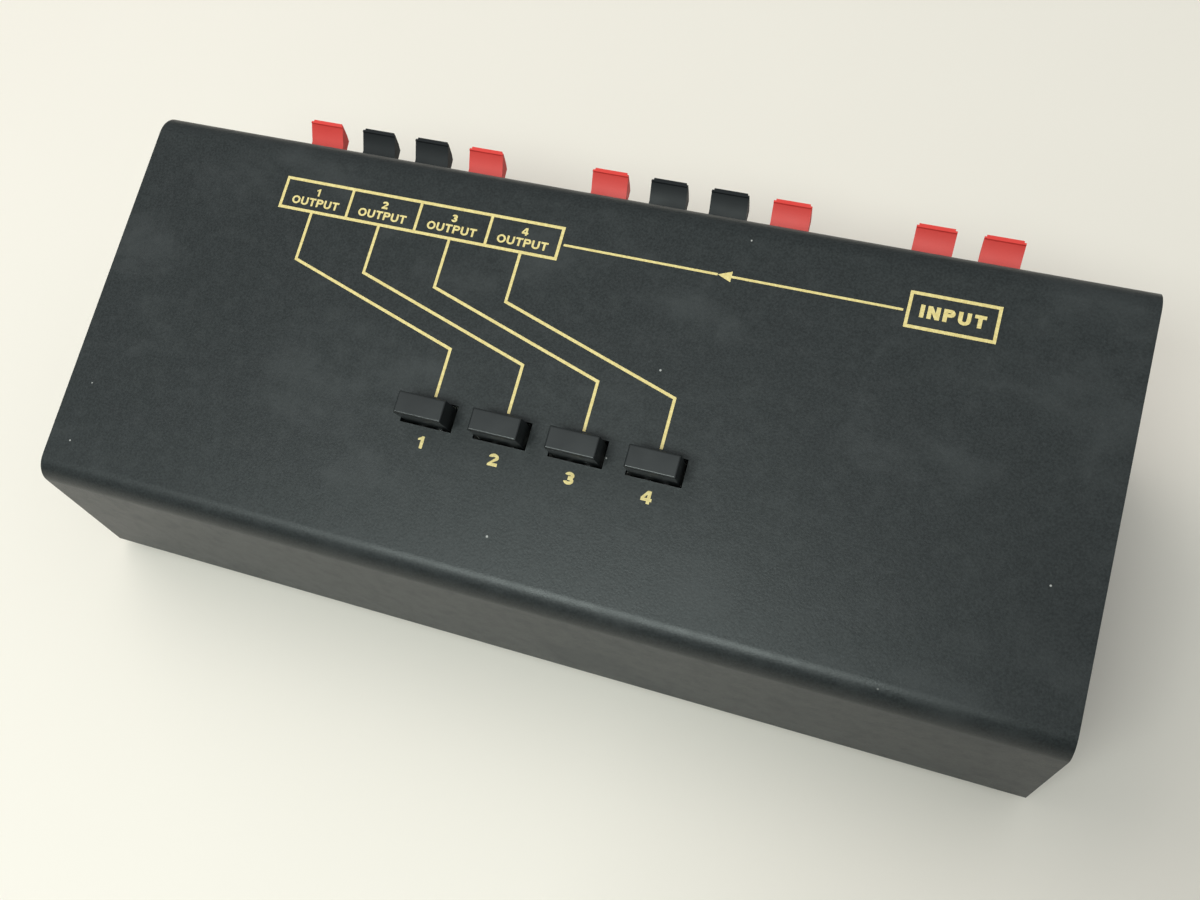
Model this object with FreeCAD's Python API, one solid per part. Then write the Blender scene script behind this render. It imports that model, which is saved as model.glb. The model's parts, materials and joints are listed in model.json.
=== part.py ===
import FreeCAD, Part
import math
import os

# A four-way speaker selector: a bent steel cover on a steel tray, four push buttons in a bank
# under the sloping panel, and three rows of spring terminals in the rear wall.
# Millimetres, +X along the width, +Y to the rear, +Z up. The pieces are drawn about the middle
# of the cover, and saved with the origin on the surface that the feet stand on, midway between
# the ends and between the front wall and the lever tips.

V = FreeCAD.Vector

# Cover
cover_width = 200.0
cover_depth = 79.4
front_height = 34.1
rear_height = 56.3
cover_sheet = 1.0
cover_bend = 5.0

# Tray and feet
tray_sheet = 1.0
tray_clearance = 0.3
tray_bend = 1.6
foot_gap = 2.0
foot_radius = 5.5
foot_chamfer = 0.5
foot_spacing_x = 168.0
foot_spacing_y = 58.0

# Cover lugs and their screws
lug_spacing_x = 124.0
lug_width = 12.0
lug_sheet = 1.2
lug_rise = 10.0
lug_foot = 9.0
cover_screw_radius = 1.45
cover_screw_length = 6.0
cover_screw_head_radius = 2.6
cover_screw_head_height = 1.5

# Button bank, measured on the sloping panel: across, up the slope and square to the panel
button_count = 4
button_pitch = 15.0
bank_offset = 0.2
button_slope = 30.0
cap_width = 9.6
cap_depth = 4.35
cap_proud = 5.5
cap_inside = 3.0
cap_bevel = 0.25
cap_clearance = 0.5
button_travel = 4.0
stem_width = 3.6
stem_depth = 3.0
stem_clearance = 0.3
stem_in_cap = 5.6
stem_length = 27.6
notch_depth = 0.9
notch_height = 1.8
spring_wire = 0.6
spring_clearance = 0.35
spring_end_gap = 0.2

# Bank frame
frame_sheet = 1.2
frame_drop = 12.2
frame_length = 68.0
frame_width = 14.0
frame_ear = 9.0
stud_radius = 1.45
stud_length = 5.2
nut_across_flats = 5.5
nut_height = 2.4
thread_clearance = 0.05
hole_clearance = 0.25

# Switch bodies, latch and board
switch_width = 12.0
switch_depth = 11.0
switch_height = 19.0
switch_floor = 1.6
latch_sheet = 1.0
latch_width = 6.4
latch_clearance = 0.3
latch_travel = 1.2
latch_spring_radius = 0.7
board_thickness = 1.6
board_length = 68.0
board_width = 22.0
pin_radius = 0.45
pin_rows = 3
pin_pitch = 3.2
pin_row_spacing = 7.6
pin_standout = 1.6

# Spring terminals, measured outwards from the rear wall and up from the standing surface
lever_pitch = 12.5
block_ways = (4, 4, 2)
block_centres = (-50.3, 14.6, 67.2)
lever_colours = "rkkrrkkrrr"
block_flange = 2.4
block_flange_height = 27.0
block_flange_end = 6.0
block_flange_corner = 1.2
block_body_depth = 11.0
block_body_height = 23.0
block_back_wall = 1.5
block_clearance = 0.3
block_height = 35.6
terminal_screw_radius = 1.2
terminal_screw_length = 7.0
terminal_screw_head_radius = 2.5
terminal_screw_head_height = 1.5

lever_width = 7.6
lever_nose_inset = 0.4
lever_clearance = 0.3
lever_tip_out = 9.2
lever_tip_height = 50.2
lever_tip_face = 4.5
lever_tip_lean = 9.0
lever_tip_land = 0.9
lever_tip_step = 0.35
lever_slope = 24.0
lever_scoop = 54.0
lever_scoop_run = 3.8
lever_thickness = 1.8
pivot_out = -3.0
pivot_radius = 1.0
pivot_clearance = 0.05
pivot_length = 1.2
pivot_boss = 2.2
lever_foot_width = 4.0
lever_foot_depth = 1.4
lever_foot_drop = 8.0
wire_hole_width = 5.0
wire_hole_height = 4.8
wire_hole_drop = 11.4
wire_hole_lead_in = 0.8
clamp_sheet = 0.4
clamp_gap = 0.3
clamp_width = 4.2
tag_width = 3.0
tag_thickness = 0.6
tag_length = 5.0

# Hook-up wires
wire_radius = 0.7
wire_lead = 6.5
wire_rise = 8.0
wire_bend = 3.0
wire_landing_pitch = 6.4
wire_landing_slope = 38.5

# Places worked out from the sizes above
front_y = -cover_depth / 2
rear_y = cover_depth / 2
cover_bottom = foot_gap
front_top = cover_bottom + front_height
rear_top = cover_bottom + rear_height
panel_tilt = math.degrees(math.atan2(rear_height - front_height, cover_depth))
tray_bottom = cover_bottom + tray_clearance
tray_top = tray_bottom + tray_sheet
wall_inner_y = rear_y - cover_sheet

lever_count = sum(block_ways)
lever_half = lever_width / 2
pocket_half = lever_half + lever_clearance
chamber_half = wire_hole_width / 2

frame_under = -(cover_sheet + frame_drop)
web_top = frame_under + frame_sheet
switch_bottom = frame_under - switch_height
stem_bottom = stem_in_cap - cap_inside - stem_length
latch_top = frame_under - latch_clearance
latch_bottom = latch_top - latch_sheet
channel_bottom = latch_bottom - latch_clearance
frame_inner = frame_length / 2 - frame_sheet


def box(x0, x1, y0, y1, z0, z1):
    """A box between two corners."""
    return Part.makeBox(x1 - x0, y1 - y0, z1 - z0, V(x0, y0, z0))


def prism_x(points, x0, x1):
    """A closed outline of (y, z) points, extruded along X."""
    corners = [V(x0, y, z) for y, z in points]
    outline = Part.makePolygon(corners + corners[:1])
    return Part.Face(outline).extrude(V(x1 - x0, 0, 0))


def on_panel(shape):
    """Moves a shape from panel measures (across, up the slope, outwards) to its place."""
    placed = shape.copy()
    tilt = FreeCAD.Rotation(V(1, 0, 0), panel_tilt)
    placed.Placement = FreeCAD.Placement(V(0, front_y, front_top), tilt)
    return placed


def button_x(index):
    """The middle of a button, across the panel."""
    return bank_offset + (index - (button_count - 1) / 2) * button_pitch


def lever_places():
    """The middle of each lever, from left to right."""
    places = []
    for ways, centre in zip(block_ways, block_centres):
        for way in range(ways):
            places.append(centre + (way - (ways - 1) / 2) * lever_pitch)
    return places


def cover_corners(inset):
    """The four corners of the cover's profile as (y, z), moved in by a distance."""
    tilt = math.radians(panel_tilt)
    front = front_y + inset
    rear = rear_y - inset
    drop = inset / math.cos(tilt)
    slope = math.tan(tilt)
    front_z = front_top + slope * (front - front_y) - drop
    rear_z = front_top + slope * (rear - front_y) - drop
    return [(front, cover_bottom), (front, front_z), (rear, rear_z), (rear, cover_bottom)]


def rounded_edges(corners, radius, x):
    """Lines and arcs along an open row of (y, z) corners, rounded at each inner corner."""
    edges = []
    start = V(x, *corners[0])
    for before, corner, after in zip(corners, corners[1:], corners[2:]):
        point = V(x, *corner)
        back = (V(x, *before) - point).normalize()
        ahead = (V(x, *after) - point).normalize()
        half_angle = back.getAngle(ahead) / 2
        run = radius / math.tan(half_angle)
        middle = (back + ahead).normalize()
        centre = point + middle * (radius / math.sin(half_angle))
        first = point + back * run
        last = point + ahead * run
        edges.append(Part.LineSegment(start, first).toShape())
        edges.append(Part.Arc(first, centre - middle * radius, last).toShape())
        start = last
    edges.append(Part.LineSegment(start, V(x, *corners[-1])).toShape())
    return edges


def rounded_wall(inset, radius, x):
    """The cover's closed profile at one inset, with its bottom left straight."""
    corners = cover_corners(inset)
    edges = rounded_edges(corners, radius, x)
    edges.append(Part.LineSegment(V(x, *corners[-1]), V(x, *corners[0])).toShape())
    return Part.Face(Part.Wire(edges))


def make_cover():
    """Front, panel and rear wall bent from one sheet, with its cut-outs."""
    left = -cover_width / 2
    outside = rounded_wall(0, cover_bend, left).extrude(V(cover_width, 0, 0))
    inside = rounded_wall(cover_sheet, cover_bend - cover_sheet, left).extrude(V(cover_width, 0, 0))
    sheet = outside.cut(inside)
    half_width = cap_width / 2 + cap_clearance
    half_depth = cap_depth / 2 + cap_clearance
    for index in range(button_count):
        middle = button_x(index)
        hole = box(middle - half_width, middle + half_width, button_slope - half_depth,
                   button_slope + half_depth, -2 * cover_sheet, cover_sheet)
        sheet = sheet.cut(on_panel(hole))
    for ways, centre in zip(block_ways, block_centres):
        half = ways * lever_pitch / 2 + block_clearance
        half_height = block_body_height / 2 + block_clearance
        window = box(centre - half, centre + half, wall_inner_y - cover_sheet, rear_y + cover_sheet,
                     block_height - half_height, block_height + half_height)
        sheet = sheet.cut(window)
    for x in terminal_screw_places():
        sheet = sheet.cut(rod_y(x, block_height, wall_inner_y - cover_sheet, rear_y + cover_sheet,
                                terminal_screw_radius + thread_clearance))
    return sheet


def rod_y(x, z, y0, y1, radius):
    """A round bar along Y."""
    return Part.makeCylinder(radius, y1 - y0, V(x, y0, z), V(0, 1, 0))


def terminal_screw_places():
    """The screws at both ends of each terminal block."""
    places = []
    for ways, centre in zip(block_ways, block_centres):
        reach = ways * lever_pitch / 2 + block_flange_end / 2
        places.append(centre - reach)
        places.append(centre + reach)
    return places


def lug_places():
    """The lugs as (x, side), with side -1 at the front and 1 at the rear."""
    return [(x * lug_spacing_x / 2, side) for x in (-1, 1) for side in (-1, 1)]


def lug_screw_y(side):
    """The screw's place across the lug's foot."""
    return side * (wall_inner_y - lug_sheet - (lug_foot - lug_sheet) / 2)


def make_cover_lugs():
    """Angle pieces welded inside the front and rear walls, tapped for the tray's screws."""
    lugs = []
    for x, side in lug_places():
        wall = side * wall_inner_y
        inner = side * (wall_inner_y - lug_sheet)
        tip = side * (wall_inner_y - lug_foot)
        top = tray_top + lug_rise
        outline = [(wall, tray_top), (wall, top), (inner, top), (inner, tray_top + lug_sheet),
                   (tip, tray_top + lug_sheet), (tip, tray_top)]
        lug = prism_x(outline, x - lug_width / 2, x + lug_width / 2)
        thread = Part.makeCylinder(cover_screw_radius + thread_clearance, 3 * lug_sheet,
                                   V(x, lug_screw_y(side), tray_top - lug_sheet))
        lugs.append(lug.cut(thread))
    return Part.makeCompound(lugs)


def make_base_tray():
    """The bottom with both ends turned up, inside the cover's profile."""
    end_x = cover_width / 2 - tray_clearance
    outline = rounded_wall(cover_sheet + tray_clearance, cover_bend - cover_sheet, -end_x)
    block = outline.extrude(V(2 * end_x, 0, 0))
    below = box(-cover_width, cover_width, -cover_depth, cover_depth, -foot_gap, tray_bottom)
    block = block.cut(below)
    hollow = box(-end_x + tray_sheet, end_x - tray_sheet, -cover_depth, cover_depth,
                 tray_top, rear_top + cover_bend)
    tray = block.cut(hollow)
    bends = [edge for edge in tray.Edges
             if abs(edge.BoundBox.ZMax - tray_bottom) < 1e-6
             and edge.BoundBox.XLength < 1e-6
             and abs(abs(edge.BoundBox.XMin) - end_x) < 1e-6
             and edge.BoundBox.YLength > cover_depth / 2]
    tray = tray.makeFillet(tray_bend, bends)
    for x, side in lug_places():
        hole = Part.makeCylinder(cover_screw_radius + hole_clearance, 3 * tray_sheet,
                                 V(x, lug_screw_y(side), tray_bottom - tray_sheet))
        tray = tray.cut(hole)
    return tray


def make_feet():
    """Four round rubber feet stuck under the tray."""
    feet = []
    for x in (-1, 1):
        for y in (-1, 1):
            foot = Part.makeCylinder(foot_radius, tray_bottom,
                                     V(x * foot_spacing_x / 2, y * foot_spacing_y / 2, 0))
            rim = [edge for edge in foot.Edges if edge.BoundBox.ZMax < 1e-6]
            feet.append(foot.makeChamfer(foot_chamfer, rim))
    return Part.makeCompound(feet)


def pan_head(radius, height):
    """A domed screw head with a cross slot, its flat face on z = 0 and its crown at -height."""
    head = Part.makeCylinder(radius, height, V(0, 0, -height))
    crown = [edge for edge in head.Edges if edge.BoundBox.ZMax < -height / 2]
    head = head.makeFillet(height * 0.6, crown)
    slot_half = radius * 0.13
    reach = radius * 0.55
    for half_x, half_y in ((slot_half, reach), (reach, slot_half)):
        slot = box(-half_x, half_x, -half_y, half_y, -height, -height / 2)
        head = head.cut(slot)
    return head


def make_cover_screws():
    """Screws from below, through the tray into the lugs."""
    screws = []
    head = pan_head(cover_screw_head_radius, cover_screw_head_height)
    shank = Part.makeCylinder(cover_screw_radius, cover_screw_length)
    screw = head.fuse(shank)
    for x, side in lug_places():
        copy = screw.copy()
        copy.translate(V(x, lug_screw_y(side), tray_bottom))
        screws.append(copy)
    return Part.makeCompound(screws)


def make_button_cap(index):
    """A hollow rectangular cap with bevelled top edges, pushed onto the plunger."""
    middle = button_x(index)
    half_width = cap_width / 2
    half_depth = cap_depth / 2
    cap = box(middle - half_width, middle + half_width, button_slope - half_depth,
              button_slope + half_depth, -cap_inside, cap_proud)
    rim = [edge for edge in cap.Edges if edge.BoundBox.ZMin > cap_proud - 1e-6]
    cap = cap.makeChamfer(cap_bevel, rim)
    socket = box(middle - stem_width / 2, middle + stem_width / 2, button_slope - stem_depth / 2,
                 button_slope + stem_depth / 2, -cap_inside, stem_in_cap - cap_inside)
    return on_panel(cap.cut(socket))


def make_plunger(index):
    """The stem from inside the cap down into the switch, notched for the latch."""
    middle = button_x(index)
    half_width = stem_width / 2
    half_depth = stem_depth / 2
    stem = box(middle - half_width, middle + half_width, button_slope - half_depth,
               button_slope + half_depth, stem_bottom, stem_in_cap - cap_inside)
    notch_middle = (latch_top + latch_bottom) / 2 + button_travel
    notch = box(middle + half_width - notch_depth, middle + half_width, button_slope - half_depth,
                button_slope + half_depth, notch_middle - notch_height / 2,
                notch_middle + notch_height / 2)
    return on_panel(stem.cut(notch))


def make_return_spring(index):
    """The coil round the stem, as its closed sleeve, between the frame and the cap."""
    inner = math.hypot(stem_width, stem_depth) / 2 + spring_clearance
    length = -cap_inside - spring_end_gap - web_top
    base = V(button_x(index), button_slope, web_top)
    sleeve = Part.makeCylinder(inner + spring_wire, length, base)
    return on_panel(sleeve.cut(Part.makeCylinder(inner, length, base)))


def ear_screw_x(side):
    """The stud in the middle of one ear of the bank frame."""
    return bank_offset + side * (frame_length / 2 + frame_ear / 2)


def make_switch_frame():
    """A hat-shaped steel strip that hangs the bank under the panel."""
    half = frame_length / 2
    front = button_slope - frame_width / 2
    rear = button_slope + frame_width / 2
    under = -cover_sheet
    web = box(bank_offset - half, bank_offset + half, front, rear, frame_under, web_top)
    frame = web
    for side in (-1, 1):
        outer = bank_offset + side * half
        inner = bank_offset + side * frame_inner
        tip = bank_offset + side * (half + frame_ear)
        leg = box(min(outer, inner), max(outer, inner), front, rear, frame_under, under)
        ear = box(min(inner, tip), max(inner, tip), front, rear, under - frame_sheet, under)
        hole = Part.makeCylinder(stud_radius + hole_clearance, 3 * frame_sheet,
                                 V(ear_screw_x(side), button_slope, under - 2 * frame_sheet))
        tab = box(min(outer, inner), max(outer, inner), button_slope - latch_width / 2,
                  button_slope + latch_width / 2, channel_bottom, frame_under)
        frame = frame.fuse([leg, ear, tab]).cut(hole)
    for index in range(button_count):
        middle = button_x(index)
        frame = frame.cut(stem_hole(middle, frame_under - frame_sheet, web_top + frame_sheet))
    return on_panel(frame.removeSplitter())


def stem_hole(middle, low, high):
    """A rectangular way for one stem."""
    half_width = stem_width / 2 + stem_clearance
    half_depth = stem_depth / 2 + stem_clearance
    return box(middle - half_width, middle + half_width, button_slope - half_depth,
               button_slope + half_depth, low, high)


def make_panel_studs():
    """Studs welded under the panel."""
    studs = []
    for side in (-1, 1):
        base = V(ear_screw_x(side), button_slope, -cover_sheet - stud_length)
        studs.append(Part.makeCylinder(stud_radius, stud_length, base))
    return on_panel(Part.makeCompound(studs))


def make_frame_nuts():
    """Hexagon nuts that hold the bank frame on its studs."""
    nuts = []
    corner = nut_across_flats / 2 / math.cos(math.radians(30))
    for side in (-1, 1):
        middle = V(ear_screw_x(side), button_slope, -cover_sheet - frame_sheet - nut_height)
        points = []
        for step in range(7):
            angle = math.radians(60 * step)
            points.append(middle + V(corner * math.cos(angle), corner * math.sin(angle), 0))
        nut = Part.Face(Part.makePolygon(points)).extrude(V(0, 0, nut_height))
        thread = Part.makeCylinder(stud_radius + thread_clearance, nut_height, middle)
        nuts.append(nut.cut(thread))
    return on_panel(Part.makeCompound(nuts))


def make_switch_body(index):
    """A moulded switch body with a well for its stem and a channel for the latch bar."""
    middle = button_x(index)
    half = switch_width / 2
    body = box(middle - half, middle + half, button_slope - switch_depth / 2,
               button_slope + switch_depth / 2, switch_bottom, frame_under)
    body = body.cut(stem_hole(middle, switch_bottom + switch_floor, frame_under))
    channel = latch_width / 2 + latch_clearance
    way = box(middle - half, middle + half, button_slope - channel, button_slope + channel,
              channel_bottom, frame_under)
    return on_panel(body.cut(way))


def latch_ends():
    """The latch bar's two ends, with room for its travel and its spring."""
    right = bank_offset + frame_inner - latch_clearance - latch_travel
    left = bank_offset - frame_inner + 2 * latch_travel + latch_clearance
    return left, right


def make_latch_bar():
    """A sliding strip with a window round each stem."""
    left, right = latch_ends()
    bar = box(left, right, button_slope - latch_width / 2, button_slope + latch_width / 2,
              latch_bottom, latch_top)
    half_depth = stem_depth / 2 + stem_clearance
    for index in range(button_count):
        middle = button_x(index)
        near = middle + stem_width / 2 + stem_clearance
        far = middle - stem_width / 2 - stem_clearance - latch_travel
        bar = bar.cut(box(far, near, button_slope - half_depth, button_slope + half_depth,
                          latch_bottom, latch_top))
    return on_panel(bar)


def make_latch_spring():
    """The small coil that pushes the latch bar back, as its closed sleeve."""
    right = latch_ends()[1]
    wall = bank_offset + frame_inner
    middle = (latch_top + latch_bottom) / 2
    base = V(right, button_slope, middle)
    axis = V(1, 0, 0)
    sleeve = Part.makeCylinder(latch_spring_radius, wall - right, base, axis)
    core = Part.makeCylinder(latch_spring_radius / 2, wall - right, base, axis)
    return on_panel(sleeve.cut(core))


def pin_places():
    """The solder pins under the switches as (across, up the slope)."""
    places = []
    for index in range(button_count):
        for row in (-1, 1):
            for step in range(pin_rows):
                across = button_x(index) + (step - (pin_rows - 1) / 2) * pin_pitch
                places.append((across, button_slope + row * pin_row_spacing / 2))
    return places


def make_switch_pins():
    """Round pins from the switch bodies through the board."""
    length = board_thickness + pin_standout
    pins = [Part.makeCylinder(pin_radius, length, V(across, slope, switch_bottom - length))
            for across, slope in pin_places()]
    return on_panel(Part.makeCompound(pins))


def make_circuit_board():
    """The board under the switches, drilled for their pins."""
    half = board_length / 2
    board = box(bank_offset - half, bank_offset + half, button_slope - board_width / 2,
                button_slope + board_width / 2, switch_bottom - board_thickness, switch_bottom)
    drills = [Part.makeCylinder(pin_radius + hole_clearance, 3 * board_thickness,
                                V(across, slope, switch_bottom - 2 * board_thickness))
              for across, slope in pin_places()]
    return on_panel(board.cut(Part.makeCompound(drills)))


def pivot_place():
    """The lever's pivot as (y, z), from its tip and its slope."""
    lean = math.radians(lever_tip_lean)
    slope = math.radians(lever_slope)
    foot_out = lever_tip_out - lever_tip_face * math.sin(lean)
    foot_z = lever_tip_height - lever_tip_face * math.cos(lean)
    under_z = foot_z - (foot_out - pivot_out) * math.tan(slope)
    return rear_y + pivot_out, under_z + lever_thickness / 2 / math.cos(slope)


def lever_outline():
    """The lever's side as (y, z) points, with its pivot end left square."""
    lean = math.radians(lever_tip_lean)
    slope = math.radians(lever_slope)
    scoop = math.radians(lever_scoop)
    tip = (lever_tip_out, lever_tip_height)
    foot = (tip[0] - lever_tip_face * math.sin(lean), tip[1] - lever_tip_face * math.cos(lean))
    land = (tip[0] - lever_tip_land, tip[1])
    step = (land[0], land[1] - lever_tip_step)
    dish = (step[0] - lever_scoop_run * math.cos(scoop), step[1] - lever_scoop_run * math.sin(scoop))
    rise = lever_thickness / math.cos(slope)
    under_z = foot[1] - (foot[0] - pivot_out) * math.tan(slope)
    bend_out = foot[0] - 2 * lever_scoop_run
    bend = (bend_out, foot[1] - (foot[0] - bend_out) * math.tan(slope) + rise)
    points = [(pivot_out, under_z), foot, tip, land, step, dish, bend, (pivot_out, under_z + rise)]
    return [(rear_y + out, z) for out, z in points]


def make_lever(middle):
    """A press lever with a scooped, upturned tip, side pivots and a foot on its clamp spring."""
    plate = prism_x(lever_outline(), middle - lever_half, middle + lever_half)
    nose_z = lever_tip_height - lever_tip_face
    for side in (-1, 1):
        edge = middle + side * lever_half
        inner = edge - side * lever_nose_inset
        nose = box(min(edge, inner), max(edge, inner), rear_y + lever_tip_out - lever_tip_land / 2,
                   rear_y + lever_tip_out + lever_tip_land, nose_z - lever_tip_face,
                   lever_tip_height + lever_tip_face)
        plate = plate.cut(nose)
    y, z = pivot_place()
    axis = V(1, 0, 0)
    boss = Part.makeCylinder(pivot_boss, lever_width, V(middle - lever_half, y, z), axis)
    reach = lever_half + pivot_length + lever_clearance
    pin = Part.makeCylinder(pivot_radius, 2 * reach, V(middle - reach, y, z), axis)
    half_foot = lever_foot_width / 2
    foot = box(middle - half_foot, middle + half_foot, y - lever_foot_depth / 2,
               y + lever_foot_depth / 2, z - lever_foot_drop, z)
    return plate.fuse([boss, pin, foot]).removeSplitter()


def wire_hole_heights():
    """The wire hole's bottom and top."""
    top = pivot_place()[1] - wire_hole_drop + wire_hole_height / 2
    return top - wire_hole_height, top


def make_terminal_block(ways, centre):
    """A moulded block: flange outside the wall, body inside, a lever pocket over each wire hole."""
    half = ways * lever_pitch / 2
    flange_half = half + block_flange_end
    low = block_height - block_flange_height / 2
    high = block_height + block_flange_height / 2
    flange = box(centre - flange_half, centre + flange_half, rear_y, rear_y + block_flange, low, high)
    corners = [edge for edge in flange.Edges if edge.BoundBox.YLength > block_flange / 2
               and edge.BoundBox.XLength < 1e-6 and edge.BoundBox.ZLength < 1e-6]
    flange = flange.makeFillet(block_flange_corner, corners)
    back_y = rear_y - block_body_depth
    body = box(centre - half, centre + half, back_y, rear_y,
               block_height - block_body_height / 2, block_height + block_body_height / 2)
    block = flange.fuse(body)
    pivot_y, pivot_z = pivot_place()
    inner_y = back_y + block_back_wall
    face_y = rear_y + block_flange
    hole_low, hole_top = wire_hole_heights()
    pocket_low = pivot_z - pivot_boss - lever_clearance
    pocket_high = block_height + block_body_height / 2 - lever_clearance
    for way in range(ways):
        middle = centre + (way - (ways - 1) / 2) * lever_pitch
        pocket = box(middle - pocket_half, middle + pocket_half, inner_y, face_y,
                     pocket_low, pocket_high)
        chamber = box(middle - chamber_half, middle + chamber_half, inner_y,
                      pivot_y + lever_foot_depth + lever_clearance, hole_low, pocket_low)
        hole = box(middle - chamber_half, middle + chamber_half, inner_y, face_y,
                   hole_low, hole_top)
        mouth = Part.makeWedge(middle - chamber_half, face_y - wire_hole_lead_in,
                               hole_low, hole_low - wire_hole_lead_in,
                               middle - chamber_half - wire_hole_lead_in,
                               middle + chamber_half, face_y, hole_top,
                               hole_top + wire_hole_lead_in,
                               middle + chamber_half + wire_hole_lead_in)
        reach = pocket_half + pivot_length + pivot_clearance
        bearing = Part.makeCylinder(pivot_radius + pivot_clearance, 2 * reach,
                                    V(middle - reach, pivot_y, pivot_z), V(1, 0, 0))
        block = block.cut([pocket, chamber, hole, mouth, bearing])
    for x in terminal_screw_places():
        block = block.cut(rod_y(x, block_height, rear_y, face_y, terminal_screw_radius + hole_clearance))
    return block.removeSplitter()


def make_terminal_screws():
    """Screws through the flanges into the rear wall."""
    head = pan_head(terminal_screw_head_radius, terminal_screw_head_height)
    shank = Part.makeCylinder(terminal_screw_radius, terminal_screw_length)
    screw = head.fuse(shank)
    screws = []
    for x in terminal_screw_places():
        copy = screw.copy()
        copy.rotate(V(0, 0, 0), V(1, 0, 0), 90)
        copy.translate(V(x, rear_y + block_flange, block_height))
        screws.append(copy)
    return Part.makeCompound(screws)


def make_clamp_spring(middle):
    """The upright leaf behind one lever's foot, which grips the wire."""
    pivot_y, pivot_z = pivot_place()
    hole_low = wire_hole_heights()[0]
    face = pivot_y - lever_foot_depth / 2 - clamp_gap
    back = rear_y - block_body_depth + block_back_wall
    half = clamp_width / 2
    low = hole_low + lever_clearance
    bridge = pivot_z - pivot_boss - 2 * lever_clearance
    leaf = box(middle - half, middle + half, face - clamp_sheet, face, low, bridge)
    arm = box(middle - half, middle + half, back, face, bridge - clamp_sheet, bridge)
    heel = box(middle - half, middle + half, back, back + clamp_sheet, low, bridge)
    return leaf.fuse([arm, heel]).removeSplitter()


def make_solder_tags():
    """The flat tags that stand out of the back of the blocks."""
    back = rear_y - block_body_depth
    tags = []
    for middle in lever_places():
        z = tag_height()
        tags.append(box(middle - tag_width / 2, middle + tag_width / 2, back - tag_length, back,
                        z - tag_thickness / 2, z + tag_thickness / 2))
    return Part.makeCompound(tags)


def tag_height():
    """The tags lie level with the middle of the wire holes."""
    low, high = wire_hole_heights()
    return (low + high) / 2


def panel_point(across, slope, out):
    """A point given in panel measures, in the part's own frame."""
    tilt = math.radians(panel_tilt)
    y = front_y + slope * math.cos(tilt) - out * math.sin(tilt)
    z = front_top + slope * math.sin(tilt) + out * math.cos(tilt)
    return V(across, y, z)


def make_wire(order, middle):
    """One insulated wire from a solder tag to the board."""
    landing = bank_offset + (order - (lever_count - 1) / 2) * wire_landing_pitch
    start = V(middle, rear_y - block_body_depth - tag_length, tag_height())
    points = [start, start - V(0, wire_lead, 0),
              panel_point(landing, wire_landing_slope, switch_bottom + wire_rise),
              panel_point(landing, wire_landing_slope, switch_bottom)]
    edges = []
    last = points[0]
    for before, corner, after in zip(points, points[1:], points[2:]):
        back = (before - corner).normalize()
        ahead = (after - corner).normalize()
        half_angle = back.getAngle(ahead) / 2
        run = wire_bend / math.tan(half_angle)
        middle_line = (back + ahead).normalize()
        centre = corner + middle_line * (wire_bend / math.sin(half_angle))
        first = corner + back * run
        edges.append(Part.LineSegment(last, first).toShape())
        last = corner + ahead * run
        edges.append(Part.Arc(first, centre - middle_line * wire_bend, last).toShape())
    edges.append(Part.LineSegment(last, points[-1]).toShape())
    path = Part.Wire(edges)
    section = Part.Wire(Part.makeCircle(wire_radius, points[0], V(0, -1, 0)))
    return path.makePipeShell([section], True, False)


def make_wires(colour):
    """All wires of one colour: each has the colour of its lever."""
    wires = [make_wire(order, middle) for order, middle in enumerate(lever_places())
             if lever_colours[order] == colour]
    return Part.makeCompound(wires)


def save(name, shape):
    """Writes one piece, with the origin under the middle of the whole part."""
    placed = shape.copy()
    placed.translate(V(0, -lever_tip_out / 2, 0))
    placed.exportStep("parts/" + name + ".step")
    print(name, len(shape.Solids), round(shape.Volume, 3), shape.isValid())


def main():
    os.makedirs("parts", exist_ok=True)
    save("cover", make_cover())
    save("cover_lugs", make_cover_lugs())
    save("base_tray", make_base_tray())
    save("feet", make_feet())
    save("cover_screws", make_cover_screws())
    for index in range(button_count):
        number = str(index + 1)
        save("button_cap_" + number, make_button_cap(index))
        save("plunger_" + number, make_plunger(index))
        save("return_spring_" + number, make_return_spring(index))
        save("switch_body_" + number, make_switch_body(index))
    save("switch_frame", make_switch_frame())
    save("panel_studs", make_panel_studs())
    save("frame_nuts", make_frame_nuts())
    save("latch_bar", make_latch_bar())
    save("latch_spring", make_latch_spring())
    save("switch_pins", make_switch_pins())
    save("circuit_board", make_circuit_board())
    for name, ways, centre in zip(("left", "middle", "right"), block_ways, block_centres):
        save("terminal_block_" + name, make_terminal_block(ways, centre))
    save("terminal_screws", make_terminal_screws())
    for order, middle in enumerate(lever_places()):
        number = str(order + 1)
        save("lever_" + number, make_lever(middle))
        save("clamp_spring_" + number, make_clamp_spring(middle))
    save("solder_tags", make_solder_tags())
    save("wires_red", make_wires("r"))
    save("wires_black", make_wires("k"))


main()
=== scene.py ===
import bpy
import json
import math
from mathutils import Matrix, Vector


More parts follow.
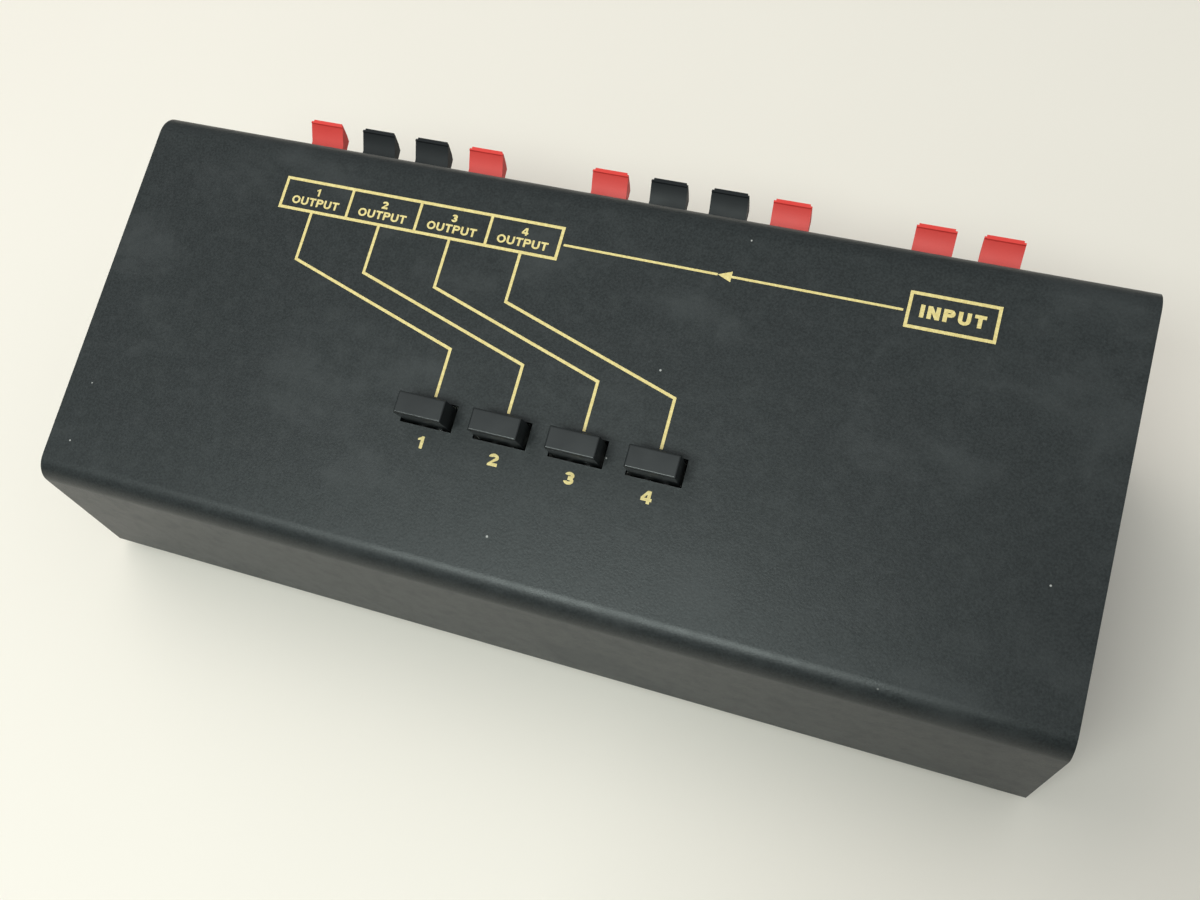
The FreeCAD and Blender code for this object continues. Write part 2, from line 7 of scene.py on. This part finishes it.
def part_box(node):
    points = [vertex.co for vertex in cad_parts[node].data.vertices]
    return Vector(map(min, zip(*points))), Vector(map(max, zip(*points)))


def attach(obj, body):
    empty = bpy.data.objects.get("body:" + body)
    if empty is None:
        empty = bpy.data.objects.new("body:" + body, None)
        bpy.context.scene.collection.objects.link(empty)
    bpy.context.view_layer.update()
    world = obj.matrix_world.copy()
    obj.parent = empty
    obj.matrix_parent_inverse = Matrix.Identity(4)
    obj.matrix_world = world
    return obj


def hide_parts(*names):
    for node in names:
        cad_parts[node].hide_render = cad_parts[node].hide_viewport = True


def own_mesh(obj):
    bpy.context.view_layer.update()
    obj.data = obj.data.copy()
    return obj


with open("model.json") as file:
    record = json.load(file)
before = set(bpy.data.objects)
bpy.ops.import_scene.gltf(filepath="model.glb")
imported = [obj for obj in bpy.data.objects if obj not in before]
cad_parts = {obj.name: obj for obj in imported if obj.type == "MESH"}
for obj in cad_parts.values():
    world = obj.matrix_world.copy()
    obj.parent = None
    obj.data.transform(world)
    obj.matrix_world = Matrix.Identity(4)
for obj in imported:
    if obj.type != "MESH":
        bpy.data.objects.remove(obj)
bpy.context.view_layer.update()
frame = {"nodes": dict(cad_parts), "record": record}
MM = 0.001

# Camera
# A phone camera held close over the right half of the box, turned so that the box's long
# edges run down to the right. Its place is given from the lower front left corner of the cover.
camera_data = bpy.data.cameras.new("camera")
camera = bpy.data.objects.new("camera", camera_data)
bpy.context.scene.collection.objects.link(camera)
bpy.context.scene.camera = camera
camera_data.sensor_width = 36.0
camera_data.lens = 32.97
camera_data.clip_start = 0.01
camera_azimuth = math.radians(29.80)
camera_elevation = math.radians(61.46)
camera_roll = math.radians(-13.47)
backwards = Vector((math.sin(camera_azimuth) * math.cos(camera_elevation),
                    -math.cos(camera_azimuth) * math.cos(camera_elevation),
                    math.sin(camera_elevation)))
level_right = Vector((0, 0, 1)).cross(backwards).normalized()
level_up = backwards.cross(level_right)
turned_right = level_right * math.cos(camera_roll) + level_up * math.sin(camera_roll)
turned_up = level_up * math.cos(camera_roll) - level_right * math.sin(camera_roll)
cover_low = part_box("cover")[0]
camera_place = cover_low + Vector((159.29, -53.45, 218.28)) * MM
camera.matrix_world = Matrix((
    (turned_right.x, turned_up.x, backwards.x, camera_place.x),
    (turned_right.y, turned_up.y, backwards.y, camera_place.y),
    (turned_right.z, turned_up.z, backwards.z, camera_place.z),
    (0, 0, 0, 1)))


# Cover
# One steel sheet bent over the front, the sloping panel and the rear, sprayed satin black.
# Its cut edges are slightly rounded by the paint, and the panel carries dust and faint smears.
class Value:
    """A number that varies over a surface. Arithmetic on values adds Math nodes."""

    def __init__(self, look, socket):
        self.look = look
        self.socket = socket

    def maths(self, operation, *terms):
        node = self.look.node("ShaderNodeMath", {"operation": operation},
                              dict(enumerate(terms)))
        return Value(self.look, node.outputs[0])

    def __add__(self, other):
        return self.maths("ADD", self, other)

    __radd__ = __add__

    def __mul__(self, other):
        return self.maths("MULTIPLY", self, other)

    def __sub__(self, other):
        return self.maths("SUBTRACT", self, other)

    def __rsub__(self, other):
        return self.maths("SUBTRACT", other, self)

    def between(self, low, high):
        """0 below low, 1 above high, and smooth between them."""
        node = self.look.node("ShaderNodeMapRange", {"interpolation_type": "SMOOTHSTEP"},
                              {"Value": self, "From Min": low, "From Max": high})
        return Value(self.look, node.outputs["Result"])


class Look:
    """One finish: a principled shader and the nodes that vary it over the surface."""

    def __init__(self, name, colour, roughness, **constants):
        self.material = bpy.data.materials.new(name)
        self.material.use_nodes = True
        self.tree = self.material.node_tree
        self.shader = self.tree.nodes["Principled BSDF"]
        self.shader.inputs["Base Color"].default_value = (*colour, 1)
        self.shader.inputs["Roughness"].default_value = roughness
        for key, value in constants.items():
            self.shader.inputs[key.replace("_", " ")].default_value = value
        self.place = self.node("ShaderNodeTexCoord").outputs["Object"]

    def node(self, kind, settings=None, sockets=None):
        """Adds a node, sets it up, and fills or links its sockets."""
        node = self.tree.nodes.new(kind)
        for key, value in (settings or {}).items():
            setattr(node, key, value)
        for key, value in (sockets or {}).items():
            socket = node.inputs[key]
            if isinstance(value, Value):
                value = value.socket
            if isinstance(value, bpy.types.NodeSocket):
                self.tree.links.new(value, socket)
            else:
                socket.default_value = value
        return node

    def noise(self, size_mm, detail=2.0, rough=0.5, stretch=(1, 1, 1)):
        """Cloudy noise from 0 to 1, with patches of about the given size."""
        vector = self.node("ShaderNodeVectorMath", {"operation": "MULTIPLY"},
                           {0: self.place, 1: stretch}).outputs[0]
        node = self.node("ShaderNodeTexNoise", None,
                         {"Vector": vector, "Scale": 1 / (size_mm * MM), "Detail": detail,
                          "Roughness": rough})
        return Value(self, node.outputs[0])

    def near(self, point, radius_mm):
        """1 at a point on the surface, falling to 0 at the radius."""
        node = self.node("ShaderNodeVectorMath", {"operation": "DISTANCE"},
                         {0: self.place, 1: tuple(point)})
        return 1 - Value(self, node.outputs["Value"]).between(0.4 * radius_mm * MM, radius_mm * MM)

    def mix(self, mask, first, second):
        """One colour where the mask is 0 and another where it is 1."""
        def four(colour):
            return colour if isinstance(colour, bpy.types.NodeSocket) else (*colour, 1)
        node = self.node("ShaderNodeMix", {"data_type": "RGBA"},
                         {0: mask, 6: four(first), 7: four(second)})
        return node.outputs[2]

    def colour(self, socket):
        self.tree.links.new(socket, self.shader.inputs["Base Color"])

    def roughness(self, value):
        self.tree.links.new(value.socket, self.shader.inputs["Roughness"])

    def bump(self, height, depth_mm):
        """Raises the surface where the height is larger."""
        node = self.node("ShaderNodeBump", None,
                         {"Strength": 1.0, "Distance": depth_mm * MM, "Height": height})
        self.tree.links.new(node.outputs[0], self.shader.inputs["Normal"])


def only(piece):
    """Leaves one object selected and active."""
    bpy.ops.object.select_all(action="DESELECT")
    piece.select_set(True)
    bpy.context.view_layer.objects.active = piece


def settle(piece):
    """Puts a piece's place into its mesh and its object at the origin."""
    only(piece)
    bpy.ops.object.transform_apply(location=True, rotation=True, scale=True)


def smooth_edges(piece, width_mm):
    """Rounds the sharp edges a little and smooths the rest, with large faces kept flat."""
    only(piece)
    bpy.ops.object.shade_smooth()
    bevel = piece.modifiers.new("edges", "BEVEL")
    bevel.width = width_mm * MM
    bevel.segments = 2
    bevel.limit_method = "ANGLE"
    bevel.angle_limit = math.radians(30)
    bpy.ops.object.modifier_apply(modifier="edges")
    normals = piece.modifiers.new("normals", "WEIGHTED_NORMAL")
    normals.mode = "FACE_AREA"
    normals.weight = 100
    bpy.ops.object.modifier_apply(modifier="normals")


def finish_node(node, look, width_mm):
    """A copy of a node with clean faces and rounded edges, shown in its place."""
    piece = bpy.data.objects.new(node + "_finished", frame["nodes"][node].data.copy())
    bpy.context.scene.collection.objects.link(piece)
    only(piece)
    bpy.ops.object.mode_set(mode="EDIT")
    bpy.ops.mesh.select_all(action="SELECT")
    bpy.ops.mesh.remove_doubles(threshold=0.001 * MM)
    bpy.ops.mesh.dissolve_limited(angle_limit=math.radians(0.3))
    bpy.ops.object.mode_set(mode="OBJECT")
    smooth_edges(piece, width_mm)
    piece.data.materials.clear()
    piece.data.materials.append(look.material)
    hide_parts(node)
    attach(piece, bodies[node])
    return piece


slots = {part["node"]: part["material_slot"] for part in frame["record"]["subparts"]}
bodies = {node: body for body, nodes in frame["record"]["behaviour"]["bodies"].items()
          for node in nodes}

front_height = 34.1
rear_height = 56.3
cover_depth = 79.4
panel_tilt = math.atan2(rear_height - front_height, cover_depth)
panel_front = Vector((0, cover_low.y, cover_low.z + front_height * MM))
up_slope = Vector((0, math.cos(panel_tilt), math.sin(panel_tilt)))
out_of_panel = Vector((0, -math.sin(panel_tilt), math.cos(panel_tilt)))


def on_panel(across, slope, out=0.0):
    """A point from millimetres across the panel, up its slope and out of it."""
    return (panel_front + Vector((across, 0, 0)) * MM + up_slope * slope * MM
            + out_of_panel * out * MM)


def paint_look(name, specks):
    """Satin paint with a fine grain, clouds of dust, and a few larger specks of it."""
    paint = Look(name, (0.015, 0.019, 0.020), 0.42, IOR=1.4)
    grain = paint.noise(0.45, 3.0, 0.65)
    mottle = paint.noise(3.0, 3.0, 0.55)
    smear = paint.noise(26.0, 4.0, 0.6, (1, 1.6, 1.6))
    flecks = paint.noise(0.55, 2.0).between(0.64, 0.78)
    dust = smear.between(0.5, 0.72) * 0.5 + mottle.between(0.45, 0.8) * 0.25 + flecks * 0.45
    spots = None
    for across, slope, radius in specks:
        spot = paint.near(on_panel(across, slope), radius)
        spots = spot if spots is None else spots + spot
    dark = paint.mix(grain.between(0.3, 0.7), (0.008, 0.0110, 0.0115), (0.022, 0.0270, 0.028))
    dusty = paint.mix(dust, dark, (0.036, 0.041, 0.042))
    paint.colour(paint.mix(spots, dusty, (0.45, 0.45, 0.43)))
    paint.roughness(0.36 + dust * 0.14 + mottle * 0.08)
    paint.bump(grain * 0.7 + mottle * 0.3, 0.04)
    return paint


# Each speck's place across the panel and up its slope, and its radius, in millimetres.
dust_specks = [(-4.4, 10.3, 0.30), (18.7, 47.7, 0.28), (68.4, 2.2, 0.36), (28.9, 75.5, 0.22),
               (91.4, 25.9, 0.25), (-95.0, 7.8, 0.25), (-94.7, 20.2, 0.20), (13.3, 29.5, 0.20)]
cover_paint = paint_look("satin_black_paint", dust_specks)
painted_edge = 0.12
finish_node("cover", cover_paint, painted_edge)


# Tray
# The steel bottom with its ends turned up, in the same paint. It closes both ends of the cover
# and is screwed to it from below.
finish_node("base_tray", cover_paint, painted_edge)


# Feet
# Four moulded rubber discs, matt and a little dusty. They are stuck to the tray near its
# corners.
rubber = Look("foot_rubber", (0.02, 0.02, 0.02), 0.8)
rubber_grain = rubber.noise(0.6, 3.0)
rubber.colour(rubber.mix(rubber_grain.between(0.4, 0.8),
                         (0.018, 0.018, 0.018), (0.05, 0.049, 0.047)))
rubber.bump(rubber_grain, 0.02)
finish_node("feet", rubber, 0.15)


# Screws and lugs
# Zinc-plated steel: the cover's screws under the tray, the terminals' screws in the rear and
# the lugs that they hold. Plating is slightly cloudy, with a fine turned or rolled grain.
def zinc_look():
    """Bright plating with faint clouds and a fine grain."""
    zinc = Look("zinc_plate", (0.55, 0.54, 0.5), 0.35, Metallic=1.0)
    cloud = zinc.noise(1.8, 3.0)
    grain = zinc.noise(0.25, 2.0, 0.5, (1, 6, 1))
    zinc.colour(zinc.mix(cloud, (0.50, 0.49, 0.45), (0.66, 0.65, 0.60)))
    zinc.roughness(0.26 + grain * 0.22)
    zinc.bump(grain, 0.004)
    return zinc


zinc_plate = zinc_look()
for fastener in ("cover_screws", "terminal_screws"):
    finish_node(fastener, zinc_plate, 0.06)
for plated in ("cover_lugs", "switch_frame", "panel_studs", "frame_nuts", "latch_bar"):
    frame["nodes"][plated].data.materials[0] = zinc_plate.material


# Terminal blocks
# Black mouldings set in the rear wall, each with a flange outside and its lever pockets and
# wire holes inside. The flange shows a fine moulded texture, and so do the switch bodies.
def moulding_look(name, dark, light, roughness, depth_mm, **constants):
    """Moulded plastic with a fine skin and slow flow marks between two shades."""
    moulding = Look(name, dark, roughness, **constants)
    texture = moulding.noise(0.3, 2.0)
    flow = moulding.noise(5.0, 2.0)
    moulding.colour(moulding.mix(texture * 0.5 + flow * 0.5, dark, light))
    moulding.roughness(roughness + (flow - 0.5) * 0.16)
    moulding.bump(texture, depth_mm)
    return moulding


block_plastic = moulding_look("block_plastic", (0.014, 0.014, 0.015), (0.024, 0.024, 0.026),
                              0.5, 0.02)
for side in ("left", "middle", "right"):
    finish_node("terminal_block_" + side, block_plastic, 0.15)
for number in range(1, 5):
    frame["nodes"]["switch_body_" + str(number)].data.materials[0] = block_plastic.material


# Levers
# Ten moulded press levers, red for the live side and black for the return, with a satin
# surface, a scooped tip and softly rounded edges.
red_plastic = moulding_look("red_plastic", (0.74, 0.048, 0.040), (0.82, 0.066, 0.053),
                            0.5, 0.006, IOR=1.38)
black_plastic = moulding_look("black_plastic", (0.010, 0.0115, 0.013), (0.017, 0.019, 0.021),
                              0.5, 0.005, IOR=1.28)
for number in range(1, 11):
    name = "lever_" + str(number)
    finish_node(name, red_plastic if slots[name] == "red_plastic" else black_plastic, 0.2)


# Button caps
# Four moulded caps of a glossier black plastic, with crisp bevelled rims. Each is pressed on a
# stem and slides in its own opening in the panel.
cap_plastic = moulding_look("cap_plastic", (0.008, 0.010, 0.011), (0.014, 0.017, 0.018),
                            0.32, 0.005)
for number in range(1, 5):
    finish_node("button_cap_" + str(number), cap_plastic, 0.14)


# Print
# Gold ink screened on the panel: a row of numbered boxes, thin lines down to the buttons, an
# arrow, an input box and the buttons' numbers. The ink stands just proud of the paint.
ink = Look("gold_ink", (0.80, 0.61, 0.27), 0.5)
ink_cloud = ink.noise(0.5, 3.0)
ink.colour(ink.mix(ink_cloud.between(0.25, 0.8), (0.70, 0.55, 0.20), (0.87, 0.73, 0.32)))
ink.bump(ink_cloud, 0.004)
ink_thickness = 0.03
ink_sunk = 0.01
border_width = 0.60
line_width = 0.58
arrow_line_width = 0.46


def ink_shape(name, outlines):
    """Ink on the panel inside closed outlines of (across, slope) millimetres."""
    curve = bpy.data.curves.new(name, "CURVE")
    curve.dimensions = "2D"
    curve.fill_mode = "BOTH"
    curve.extrude = ink_thickness / 2
    for outline in outlines:
        spline = curve.splines.new("POLY")
        spline.points.add(len(outline) - 1)
        for point, place in zip(spline.points, outline):
            point.co = (place[0], place[1], 0, 1)
        spline.use_cyclic_u = True
    piece = bpy.data.objects.new(name, curve)
    bpy.context.scene.collection.objects.link(piece)
    only(piece)
    bpy.ops.object.convert(target="MESH")
    bpy.ops.object.mode_set(mode="EDIT")
    bpy.ops.mesh.select_all(action="SELECT")
    bpy.ops.mesh.remove_doubles(threshold=0.0005)
    bpy.ops.mesh.normals_make_consistent(inside=False)
    bpy.ops.object.mode_set(mode="OBJECT")
    piece.matrix_world = (Matrix.Translation(on_panel(0, 0, ink_thickness / 2 - ink_sunk))
                          @ Matrix.Rotation(panel_tilt, 4, "X") @ Matrix.Diagonal((MM, MM, MM, 1)))
    settle(piece)
    piece.data.materials.clear()
    piece.data.materials.append(ink.material)
    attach(piece, "root")


def ink_line(name, points, width):
    """An even line along (across, slope) points, mitred at its corners."""
    row = [Vector(point) for point in points]
    ways = [(after - before).normalized() for before, after in zip(row, row[1:])]
    left, right = [], []
    for point, way_in, way_out in zip(row, [ways[0]] + ways, ways + [ways[-1]]):
        side = Vector((-way_in.y, way_in.x))
        across = (side + Vector((-way_out.y, way_out.x))).normalized()
        reach = width / 2 / across.dot(side)
        left.append(point + across * reach)
        right.append(point - across * reach)
    ink_shape(name, [left + right[::-1]])


def rectangle(left, low, right, high):
    """The corners of an upright rectangle."""
    return [(left, low), (right, low), (right, high), (left, high)]


def arc(middle, reach, start, end, steps=9):
    """Points on an ellipse between two angles in degrees."""
    turn = [math.radians(start + (end - start) * step / steps) for step in range(steps + 1)]
    return [(middle[0] + reach[0] * math.cos(angle), middle[1] + reach[1] * math.sin(angle))
            for angle in turn]


# Each sign is one high. It takes the width of its strokes, and gives its own width and outlines.
def sign_i(bar):
    return bar, [rectangle(0, 0, bar, 1)]


def sign_n(bar):
    wide, notch = 0.80, 0.50
    return wide, [[(0, 0), (0, 1), (bar, 1), (wide - bar, notch), (wide - bar, 1), (wide, 1),
                   (wide, 0), (wide - bar, 0), (bar, 1 - notch), (bar, 0)]]


def sign_t(bar):
    wide = 0.74
    left, right = (wide - bar) / 2, (wide + bar) / 2
    return wide, [[(0, 1), (wide, 1), (wide, 1 - bar), (right, 1 - bar), (right, 0), (left, 0),
                   (left, 1 - bar), (0, 1 - bar)]]


def sign_u(bar):
    wide, round_part = 0.80, 0.38
    middle = (wide / 2, round_part)
    outer = arc(middle, (wide / 2, round_part), 180, 360)
    inner = arc(middle, (wide / 2 - bar, round_part - bar), 360, 180)
    return wide, [[(0, 1)] + outer + [(wide, 1), (wide - bar, 1)] + inner + [(bar, 1)]]


def sign_o(bar):
    wide = 0.92
    middle = (wide / 2, 0.5)
    return wide, [arc(middle, (wide / 2, 0.5), 0, 342, 19),
                  arc(middle, (wide / 2 - bar, 0.5 - bar), 0, 342, 19)]


def sign_p(bar):
    wide, bowl = 0.74, 0.30
    middle = (wide - bowl, 1 - bowl)
    outer = arc(middle, (bowl, bowl), 90, -90)
    inner = arc(middle, (bowl - bar, bowl - bar), 90, -90)
    return wide, [[(0, 0), (0, 1)] + outer + [(bar, 1 - 2 * bowl), (bar, 0)],
                  [(bar, 1 - bar)] + inner + [(bar, 1 - 2 * bowl + bar)]]


def sign_1(bar):
    wide, flag_low, flag_high = 0.50, 0.64, 0.80
    stem = wide - bar
    return wide, [[(stem, 0), (wide, 0), (wide, 1), (stem + 0.3 * bar, 1), (stem * 0.6, 0.87),
                   (0, flag_high), (0, flag_low), (stem, flag_low + 0.05)]]


def sign_2(bar):
    wide, head = 0.82, 0.31
    middle = (wide / 2, 1 - head)
    outer = arc(middle, (wide / 2, head), 178, -38)
    inner = arc(middle, (wide / 2 - bar, head - bar), -38, 178)
    return wide, [outer + [(0.44 * wide, bar), (wide, bar), (wide, 0), (0, 0), (0, 0.14)] + inner]


def sign_3(bar):
    wide, head, foot = 0.80, 0.29, 0.31
    upper = (wide / 2, 1 - head)
    lower = (wide / 2, foot)
    return wide, [arc(upper, (wide / 2 - 0.02, head), 168, -42)
                  + arc(lower, (wide / 2, foot), 42, -168)
                  + arc(lower, (wide / 2 - bar, foot - bar), -168, 90)
                  + [(0.38 * wide, 2 * foot - bar), (0.38 * wide, 1 - 2 * head + bar)]
                  + arc(upper, (wide / 2 - 0.02 - bar, head - bar), -90, 168)]


def sign_4(bar):
    wide, shelf = 0.86, 0.20
    stem = wide - 0.13 - bar
    shelf_top = shelf + 0.9 * bar
    return wide, [[(stem, 0), (stem, shelf), (0, shelf), (0, shelf_top + 0.02), (stem - 0.04, 1),
                   (stem + bar, 1), (stem + bar, shelf_top), (wide, shelf_top), (wide, shelf),
                   (stem + bar, shelf), (stem + bar, 0)],
                  [(0.26, shelf_top), (stem, shelf_top), (stem, 0.72)]]


signs = {"I": sign_i, "N": sign_n, "T": sign_t, "U": sign_u, "O": sign_o, "P": sign_p,
         "1": sign_1, "2": sign_2, "3": sign_3, "4": sign_4}


def ink_word(name, word, across, slope, height, bar, gap=0.12, stretch=1.0):
    """A bold word or number centred on a place on the panel."""
    outlines = []
    end = 0.0
    for letter in word:
        wide, parts = signs[letter](bar)
        outlines += [[(end + x, y) for x, y in part] for part in parts]
        end += wide + gap
    middle = (end - gap) / 2
    ink_shape(name, [[(across + (x - middle) * height * stretch, slope + (y - 0.5) * height)
                      for x, y in outline] for outline in outlines])


boxes_left, boxes_right = -67.25, -6.55
boxes_low, boxes_high = 64.5, 71.45
dividers = (-51.95, -36.8, -21.6)
half_line = line_width / 2
cell_sides = [boxes_left + border_width - half_line, *dividers,
              boxes_right - border_width + half_line]
cells = [rectangle(left + half_line, boxes_low + border_width, right - half_line,
                   boxes_high - border_width) for left, right in zip(cell_sides, cell_sides[1:])]
ink_shape("print_output_boxes", [rectangle(boxes_left, boxes_low, boxes_right, boxes_high)] + cells)
box_number_slope, box_word_slope, button_number_slope = 69.05, 66.8, 24.3
button_number_shift = -0.3
lead_tops = (-59.55, -44.4, -29.0, -14.0)
lead_feet = (-22.0, -7.1, 7.85, 22.65)
lead_turn_high, lead_turn_low, lead_end = 54.5, 43.1, 33.4
for left, right, top, foot, label in zip(cell_sides, cell_sides[1:], lead_tops, lead_feet, "1234"):
    middle = (left + right) / 2
    ink_word("print_output_number_" + label, label, middle, box_number_slope,
             height=1.58, bar=0.25)
    ink_word("print_output_word_" + label, "OUTPUT", middle, box_word_slope,
             height=1.72, bar=0.21, gap=0.11, stretch=1.16)
    ink_line("print_lead_" + label, [(top, boxes_low), (top, lead_turn_high),
                                     (foot, lead_turn_low), (foot, lead_end)], line_width)
    ink_word("print_button_number_" + label, label, foot + button_number_shift,
             button_number_slope, height=2.4, bar=0.26)

input_left, input_low, input_right, input_high = 58.9, 64.75, 74.85, 71.7
ink_shape("print_input_box", [rectangle(input_left, input_low, input_right, input_high),
                              rectangle(input_left + border_width, input_low + border_width,
                                        input_right - border_width, input_high - border_width)])
ink_word("print_input_word", "INPUT", (input_left + input_right) / 2,
         (input_low + input_high) / 2, height=2.4, bar=0.27, gap=0.2, stretch=1.14)
arrow_left, arrow_tip, arrow_back, arrow_right = -6.0, 24.4, 27.0, 58.3
arrow_slope, arrow_half = 67.85, 1.05
ink_line("print_arrow_line_left", [(arrow_left, arrow_slope), (arrow_tip, arrow_slope)],
         arrow_line_width)
ink_line("print_arrow_line_right", [(arrow_back, arrow_slope), (arrow_right, arrow_slope)],
         arrow_line_width)
ink_shape("print_arrow_head", [[(arrow_tip, arrow_slope),
                                (arrow_back, arrow_slope + arrow_half),
                                (arrow_back, arrow_slope - arrow_half)]])


# Inside pieces
# What the box holds behind the panel: nylon stems, tinned contacts, a brown board and
# insulated wires. They keep their solids and only get a finish.
nylon = moulding_look("nylon", (0.70, 0.68, 0.60), (0.80, 0.78, 0.70), 0.5, 0.005)
brass = Look("tinned_brass", (0.72, 0.66, 0.48), 0.3, Metallic=1.0)
brass_cloud = brass.noise(1.2, 3.0)
brass.colour(brass.mix(brass_cloud, (0.66, 0.60, 0.44), (0.80, 0.76, 0.62)))
steel = Look("spring_steel", (0.42, 0.42, 0.42), 0.28, Metallic=1.0)
steel_grain = steel.noise(0.3, 2.0, 0.5, (1, 1, 5))
steel.roughness(0.2 + steel_grain * 0.2)
board_brown = moulding_look("phenolic_board", (0.33, 0.19, 0.07), (0.44, 0.27, 0.11), 0.5, 0.004)
wire_red = moulding_look("wire_red", (0.55, 0.03, 0.03), (0.65, 0.05, 0.04), 0.45, 0.003)
wire_black = moulding_look("wire_black", (0.02, 0.02, 0.02), (0.03, 0.03, 0.03), 0.45, 0.003)
inside_looks = {"nylon": nylon, "tinned_brass": brass, "spring_steel": steel, "board": board_brown,
                "wire_red": wire_red, "wire_black": wire_black}
for node, slot_name in slots.items():
    if slot_name in inside_looks:
        frame["nodes"][node].data.materials[0] = inside_looks[slot_name].material


# Springs
# Steel springs that give as their button, lever or latch bar moves. Here each only gets a finished
# copy in spring steel with a mesh of its own.
def springy(node):
    """A finished copy of a spring in spring steel, with a mesh of its own."""
    piece = finish_node(node, steel, 0.03)
    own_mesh(piece)


for label in map(str, range(1, 5)):
    springy("return_spring_" + label)
for label in map(str, range(1, 11)):
    springy("clamp_spring_" + label)
springy("latch_spring")


# Table, room and light
# A plain pale table in a room that is bright overhead and dim near the horizon. A large soft
# lamp stands at the rear left, a ceiling lamp in front lights the front bend, and a dark card
# over the right front throws the shade that a camera held so close would.
bpy.ops.object.select_all(action="DESELECT")
bpy.ops.mesh.primitive_plane_add(size=30.0)
table = bpy.context.object
table.name = "table"
table_look = Look("table_white", (0.89, 0.83, 0.75), 0.6)
table_cloud = table_look.noise(90.0, 2.0)
table_look.colour(table_look.mix(table_cloud, (0.88, 0.82, 0.74), (0.90, 0.84, 0.76)))
table.data.materials.append(table_look.material)

world = bpy.data.worlds.new("room")
bpy.context.scene.world = world
world.use_nodes = True
tree = world.node_tree
direction = tree.nodes.new("ShaderNodeTexCoord")
parts = tree.nodes.new("ShaderNodeSeparateXYZ")
ramp = tree.nodes.new("ShaderNodeValToRGB")
tree.links.new(direction.outputs["Generated"], parts.inputs[0])
tree.links.new(parts.outputs["Z"], ramp.inputs[0])
tree.links.new(ramp.outputs[0], tree.nodes["Background"].inputs["Color"])
stops = ramp.color_ramp.elements
for height, colour in ((0.3, (0.30, 0.312, 0.312)), (0.6, (0.53, 0.555, 0.555))):
    stops.new(height).color = (*colour, 1)
stops[0].color = (0.07, 0.073, 0.073, 1)
stops[-1].color = (0.62, 0.645, 0.645, 1)


def room_lamp(name, place, size, power, colour):
    """A rectangular lamp that points at the box."""
    data = bpy.data.lights.new(name, "AREA")
    data.shape = "RECTANGLE"
    data.size, data.size_y = size
    data.energy = power
    data.color = colour
    lamp = bpy.data.objects.new(name, data)
    bpy.context.scene.collection.objects.link(lamp)
    lamp.location = place
    lamp.rotation_euler = (-lamp.location).to_track_quat("-Z", "Y").to_euler()
    return lamp


window = room_lamp("window", place=(-0.8, 0.35, 0.9), size=(1.0, 1.0), power=5.1,
                   colour=(1.0, 0.955, 0.91))
window.visible_glossy = False
room_lamp("ceiling_lamp", place=(-0.10, -0.55, 0.80), size=(0.66, 0.25), power=4.6,
          colour=(0.90, 1.0, 0.96))
ceiling_tube = room_lamp("ceiling_tube", place=(-0.08, -0.50, 0.85), size=(0.75, 0.10), power=4.4,
                         colour=(0.88, 1.0, 0.95))
ceiling_tube.visible_diffuse = False

bpy.ops.object.select_all(action="DESELECT")
bpy.ops.mesh.primitive_plane_add(size=1.0, location=(0.1825, -0.27, 0.22))
card = bpy.context.object
card.name = "shade_card"
card.scale = (0.215, 0.30, 1.0)
settle(card)
card.data.materials.append(Look("card_black", (0.03, 0.03, 0.03), 0.9).material)
card.visible_camera = False

bpy.context.scene.view_settings.view_transform = "Standard"
